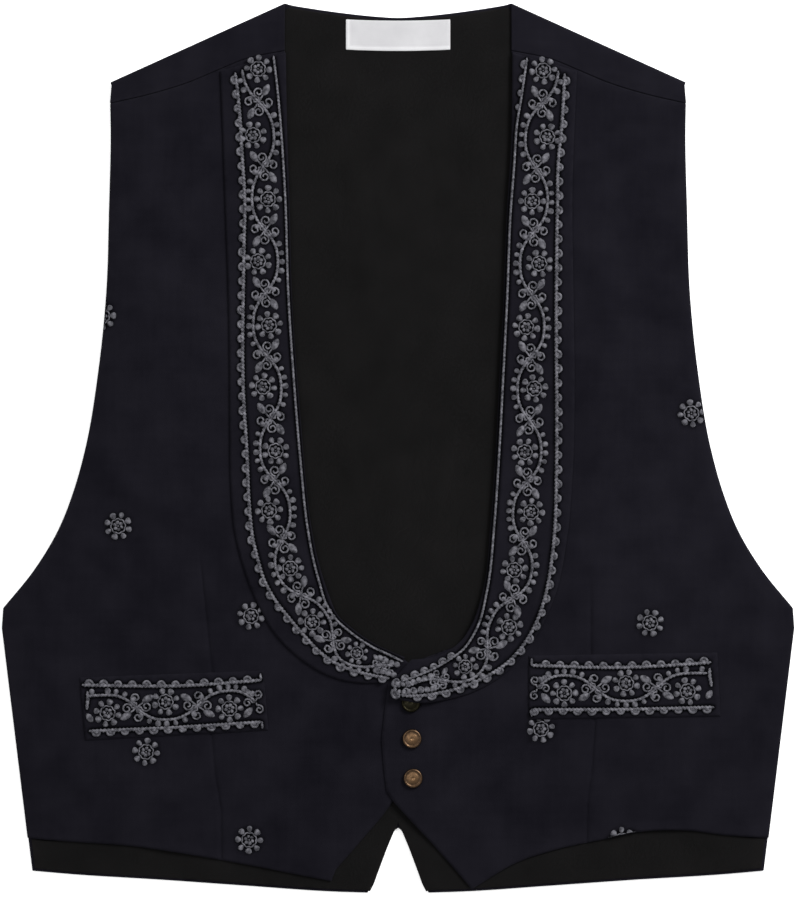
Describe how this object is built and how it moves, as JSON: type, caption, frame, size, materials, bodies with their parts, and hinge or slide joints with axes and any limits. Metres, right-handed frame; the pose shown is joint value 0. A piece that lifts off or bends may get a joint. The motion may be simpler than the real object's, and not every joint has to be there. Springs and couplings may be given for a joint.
{
  "type": "embroidered folk vest laid flat",
  "caption": "Flat-laid sleeveless folk vest with an open neck, long embroidered collar bands, pocket welts, cut-away front points, brass buttons and a vented back.",
  "frame": {"origin": "middle of the vest's box, on the surface that the back lies on", "axes": "+Z out of the cloth, +Y from the hem to the neck, +X towards the wearer's left front"},
  "size_m": [0.4602, 0.5161, 0.0112],
  "materials": {
    "shell": "matt dark navy plain weave",
    "lining": "soft sheen black twill",
    "thread": "silky grey embroidery thread",
    "label": "white woven tape",
    "brass": "antiqued"
  },
  "bodies": {
    "root": {"back": "shell", "back_lining": "lining", "front_right": "shell", "front_left": "shell", "collar_right": "shell", "collar_left": "shell", "welt_right": "shell", "welt_left": "shell", "label": "label", "button_top": "brass", "button_middle": "brass", "button_bottom": "brass"}
  },
  "joints": []
}
